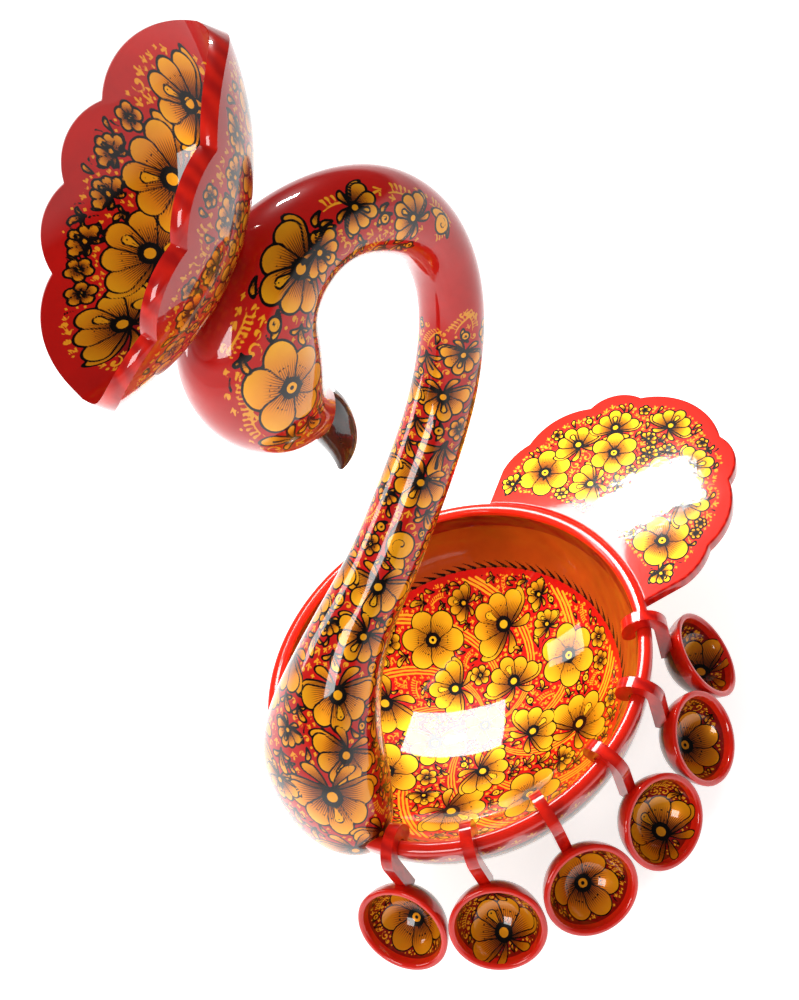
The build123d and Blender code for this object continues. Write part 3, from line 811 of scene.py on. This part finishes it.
# ---------------------------------------------------------------- tail board
def tail():
    def bulged(p, q, bulge):
        p, q = np.array(p), np.array(q)
        d = (q - p) / hypot(*(q - p))
        return circle_through(p, (p + q) / 2 + bulge * np.array([d[1], -d[0]]), q, 40)[:-1]
    bulges = (TAIL_LOBE / 3, TAIL_LOBE, TAIL_LOBE)
    right = [bulged(b, a, k) for a, b, k in zip(TAIL_CUSPS, TAIL_CUSPS[1:], bulges)]
    right = np.concatenate(right[::-1] + [[TAIL_CUSPS[0]]])
    root_y = np.linspace(TAIL_ROOT[1], -TAIL_ROOT[1], 80)
    root = np.stack([(RIM_R * STRETCH - 1.0) * np.sqrt(1 - (root_y / RIM_R) ** 2), root_y], 1)
    end = circle_through(np.array([TAIL_CUSPS[-1][0], -TAIL_CUSPS[-1][1]]), np.array([TAIL_END_X, 0.0]),
                         np.array(TAIL_CUSPS[-1]), 60)[:-1]
    left = (right * (1, -1))[::-1]
    loop = np.concatenate([right, root, left, end])
    loop = even(np.concatenate([loop, loop[:1]]), 0.75)[0][:-1]
    middle = np.array([172.0, 0.0])
    ahead = np.roll(loop, -4, 0) - np.roll(loop, 4, 0)
    inward = np.stack([-ahead[:, 1], ahead[:, 0]], 1) / np.hypot(*ahead.T)[:, None]
    inward *= np.sign(((middle - loop) * inward).sum(1))[:, None]
    slope = np.array([[cos(TAIL_RISE), 0, sin(TAIL_RISE)], [0, 1, 0], [-sin(TAIL_RISE), 0, cos(TAIL_RISE)]])
    hinge = np.array([RIM_R * STRETCH, 0, RIM_Z])

    def lift(plan, z):
        local = np.stack([plan[..., 0] - hinge[0], plan[..., 1], np.full(plan.shape[:-1], z)], -1)
        return local @ slope + hinge

    skin = Skin()
    share = np.linspace(0.002, 1, 100)[:, None, None]
    for z, seed, flip, u0 in ((0.0, 31, False, 0.0), (-TAIL_T, 32, True, 0.5)):
        plan = middle + (loop + 1.4 * inward - middle) * share
        gap = 1.4 + (1 - share[..., 0]) * np.hypot(*(loop - middle).T)[None] * 0.93
        rim_gap = np.hypot(plan[..., 0] / STRETCH, plan[..., 1]) - RIM_R
        edge = np.minimum(gap, rim_gap) - 7.5
        cv = Canvas(plan[..., 0], plan[..., 1], edge, seed)
        for sgn in (-1, 1):
            for x, y, r, a, kind in ((148, 52, 19, 1.6, "flower"), (180, 50, 18, 1.2, "fan"),
                                     (206, 35, 17, 0.7, "fan"), (155, 20, 17, 2.4, "fan"),
                                     (186, 20, 17, 0.6, "flower"), (128, 68, 9, 1.8, "fan")):
                cv.motif(kind, (x, sgn * y), r, sgn * a)
        cv.fan((222, 0), 0.0, 16)
        cv.fill_all(lambda c: atan2(c[1], c[0] - 150), 8)
        plan_uv = (plan - (90, -90)) / 180 * (0.5, 1.0) + (u0, 0.0)
        skin.grid(lift(plan, z), wrap=True, paint=cv, flip=not flip, uv=plan_uv, room=(0, 0, 1, 0.94))
    profile = np.concatenate([arc(1.4, -1.4, 1.4, 90, 180, 6), arc(1.4, 1.4 - TAIL_T, 1.4, 180, 270, 6)])
    side = np.stack([lift(loop + inward * q, z) for q, z in profile])
    skin.grid(side, wrap=True, slot=1, room=(0.0, 0.95, 1.0, 1.0))
    return skin.make("tail_skin", [tail_paint, red_lacquer], "swan", ["tail_board"])


# ---------------------------------------------------------------- cups
def cup(number):
    """Turned cup body: one large flower inside, a red band and amber lacquer outside."""
    a = radians(CUP_FIRST + CUP_STEP * (number - 1))
    foot = np.array([STRETCH * INNER_R * cos(a), INNER_R * sin(a), 0.0])
    heading = atan2(foot[1] / INNER_R ** 2, foot[0] / (STRETCH * INNER_R) ** 2)
    out = np.array([cos(heading), sin(heading), 0.0])
    across = np.array([-sin(heading), cos(heading), 0.0])
    axis = out * cos(CUP_TILT) + np.array([0, 0, sin(CUP_TILT)])
    rise = out * -sin(CUP_TILT) + np.array([0, 0, cos(CUP_TILT)])
    middle = foot + out * CUP_OFF + np.array([0, 0, CUP_Z])

    def stand(p):
        return middle + p[..., :1] * across + p[..., 1:2] * rise + p[..., 2:] * axis

    ball = hypot(CUP_R - CUP_WALL, CUP_CENTRE)
    t = np.linspace(-pi / 2, -asin((CUP_LIP + CUP_CENTRE) / ball), 120)
    inner = np.stack([ball * np.cos(t), CUP_CENTRE + ball * np.sin(t)], 1)
    profile, s = even(inner, 0.5)
    profile[0, 0] = 0.01
    n = 320
    turn = np.linspace(0, TAU, n, endpoint=False)[None]
    reach = np.repeat(s[:, None], n, 1)
    cv = Canvas(reach * np.cos(turn), reach * np.sin(turn), s[-1] - 5.0 - reach, 40 + number,
                band=reach - s[-1] + 3.8)
    lean = 0.35 * (number % 3 - 1)
    if number % 2:
        cv.flower((3 * lean, -8.0), 23.0, 6, lean, 0.1)
        cv.snail((-14.0, 19.5), pi / 2, 7.5, 1)
        cv.snail((14.0, 19.5), pi / 2, 7.5, -1)
        cv.leaf((0.0, 14.0), pi / 2, 9.0)
    else:
        cv.fan((0.0, -20.0), pi / 2 + lean, 27)
        cv.fan((0.0, 12.0), pi / 2 - lean, 16)
    cv.fill_all(lambda c: pi / 2 + 0.03 * c[0])
    skin = Skin()
    uv = np.stack([reach * np.cos(turn), reach * np.sin(turn)], -1) / (2.02 * s[-1]) + 0.5
    skin.grid(stand(turned(profile, n)), wrap=True, paint=cv, flip=True, uv=uv, room=(0, 0, 0.7, 0.7))
    lip = np.concatenate([profile[-1:], arc(CUP_R - CUP_WALL + CUP_LIP, -CUP_LIP, CUP_LIP, 176, 90, 7),
                          arc(CUP_R - CUP_LIP, -CUP_LIP, CUP_LIP, 90, 4, 7)])
    ball = hypot(CUP_R, CUP_CENTRE)
    t = np.linspace(-asin((CUP_LIP + CUP_CENTRE) / ball), -asin((CUP_FOOT_CUT + CUP_CENTRE) / ball), 80)
    belly = np.stack([ball * np.cos(t), CUP_CENTRE + ball * np.sin(t)], 1)
    profile, s = even(np.concatenate([lip, belly]), 0.6)
    n = 260
    reach = np.repeat(s[:, None], n, 1)
    turn = np.repeat(np.linspace(0, TAU, n, endpoint=False)[None], len(s), 0)
    cv = Canvas(reach, turn, np.full(reach.shape, -1.0), 60 + number,
                radius=lambda q: np.interp(q, s, profile[:, 0]), zone=reach - 15.0, band=15.0 - reach)
    skin.grid(stand(turned(profile, n)), wrap=True, paint=cv, flip=True, room=(0.0, 0.72, 1.0, 1.0))
    base = np.array([profile[-1], (profile[-1, 0] * 0.5, -CUP_FOOT_CUT), (0.01, -CUP_FOOT_CUT)])
    skin.grid(stand(turned(base, 60)), wrap=True, flip=True, slot=1, room=(0.72, 0.0, 1.0, 0.7))
    name = f"cup_{number}"
    return skin.make(name + "_skin", [cup_paint, red_lacquer], name, [name + "_body"])


bowl_inside()
bowl_outside()
neck()
crest()
tail()
for number in range(1, CUP_COUNT + 1):
    cup(number)
for name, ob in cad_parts.items():
    finish = red_lacquer if name.endswith("handle") else bare_wood
    if name == "beak":
        finish = beak_lacquer
    for place in ob.material_slots:
        place.material = finish

# ---------------------------------------------------------------- floor, light and camera
def stage_plane(name, size, material):
    bpy.ops.mesh.primitive_plane_add(size=size)
    ob = bpy.context.object
    ob.name = name
    ob.data.materials.append(material)
    return ob


def pale_floor():
    """White to the camera and in reflections, with the object's soft shadow kept."""
    g = Nodes("pale_floor")
    grain = g.ramp(g.noise(3.0), 0.3, 0.7, 0.86, 0.9)
    color = g.new("CombineColor", {0: grain, 1: grain, 2: grain}).outputs[0]
    matte = g.new("BsdfDiffuse", {"Color": color}).outputs[0]
    glow = g.new("Emission", {"Color": (1, 1, 1, 1), "Strength": 0.72}).outputs[0]
    both = g.new("AddShader", {0: matte, 1: glow}).outputs[0]
    rays = g.new("LightPath")
    seen = g.math("MAXIMUM", rays.outputs["Is Camera Ray"], rays.outputs["Is Glossy Ray"])
    shader = g.new("MixShader", {0: seen, 1: matte, 2: both}).outputs[0]
    g.new("OutputMaterial", {0: shader})
    return g.material


# world light: diffuse, and as mirrored low down and overhead
AMBIENT, HORIZON, CEILING = 0.48, 0.8, 0.04
stage_plane("floor", 6.0, pale_floor())
world = bpy.data.worlds.new("studio")
bpy.context.scene.world = world
world.use_nodes = True
tree = world.node_tree
rays = tree.nodes.new("ShaderNodeLightPath")
height = tree.nodes.new("ShaderNodeSeparateXYZ")
tree.links.new(tree.nodes.new("ShaderNodeTexCoord").outputs["Generated"], height.inputs[0])
dim = tree.nodes.new("ShaderNodeMapRange")
for key, value in ((1, 0.08), (2, 0.2), (3, HORIZON), (4, CEILING)):
    dim.inputs[key].default_value = value
tree.links.new(height.outputs["Z"], dim.inputs[0])
level = AMBIENT
for ray, value in (("Is Glossy Ray", dim.outputs[0]), ("Is Camera Ray", 1.0)):
    pick = tree.nodes.new("ShaderNodeMix")
    tree.links.new(rays.outputs[ray], pick.inputs[0])
    for key, source in ((2, level), (3, value)):
        if isinstance(source, float):
            pick.inputs[key].default_value = source
        else:
            tree.links.new(source, pick.inputs[key])
    level = pick.outputs[0]
tree.links.new(level, tree.nodes["Background"].inputs["Strength"])
tree.nodes["Background"].inputs["Color"].default_value = (1, 1, 1, 1)


def softbox(name, at, target, width, height, power):
    light = bpy.data.lights.new(name, "AREA")
    light.shape = "RECTANGLE"
    light.size, light.size_y, light.energy = width, height, power
    ob = bpy.data.objects.new(name, light)
    ob.location = at
    ob.rotation_euler = (Vector(target) - Vector(at)).to_track_quat("-Z", "Y").to_euler()
    bpy.context.scene.collection.objects.link(ob)


softbox("key", (0.41, 0.445, 0.954), (0.15, 0.0, 0.1), 0.14, 0.06, 2.2)
softbox("bowl", (0.104, 0.128, 0.295), (-0.016, 0.013, 0.015), 0.18, 0.11, 1.25)
softbox("fill", (-1.1, -0.5, 1.0), (0.0, 0.0, 0.2), 0.5, 0.5, 8.0)
softbox("back", (-0.75, 0.95, 0.75), (0.0, 0.0, 0.3), 0.3, 0.8, 5.0)

# the camera, fitted to the photo: place in metres, focal length in mm
EYE, FOCAL = (-0.1487, -0.3887, 0.7105), 40.9
AZIMUTH, ELEVATION, ROLL = radians(-23.05), radians(47.30), radians(-26.04)
back = Vector((sin(AZIMUTH) * cos(ELEVATION), -cos(AZIMUTH) * cos(ELEVATION), sin(ELEVATION)))
right = Vector((cos(AZIMUTH), sin(AZIMUTH), 0.0))
up = back.cross(right)
rolled = (cos(ROLL) * right + sin(ROLL) * up, -sin(ROLL) * right + cos(ROLL) * up, back)
lens = bpy.data.cameras.new("camera")
lens.sensor_width, lens.lens = 36.0, FOCAL
camera = bpy.data.objects.new("camera", lens)
camera.matrix_world = Matrix.Translation(EYE) @ Matrix(rolled).transposed().to_4x4()
bpy.context.scene.collection.objects.link(camera)
bpy.context.scene.camera = camera
bpy.context.scene.view_settings.view_transform = "Standard"
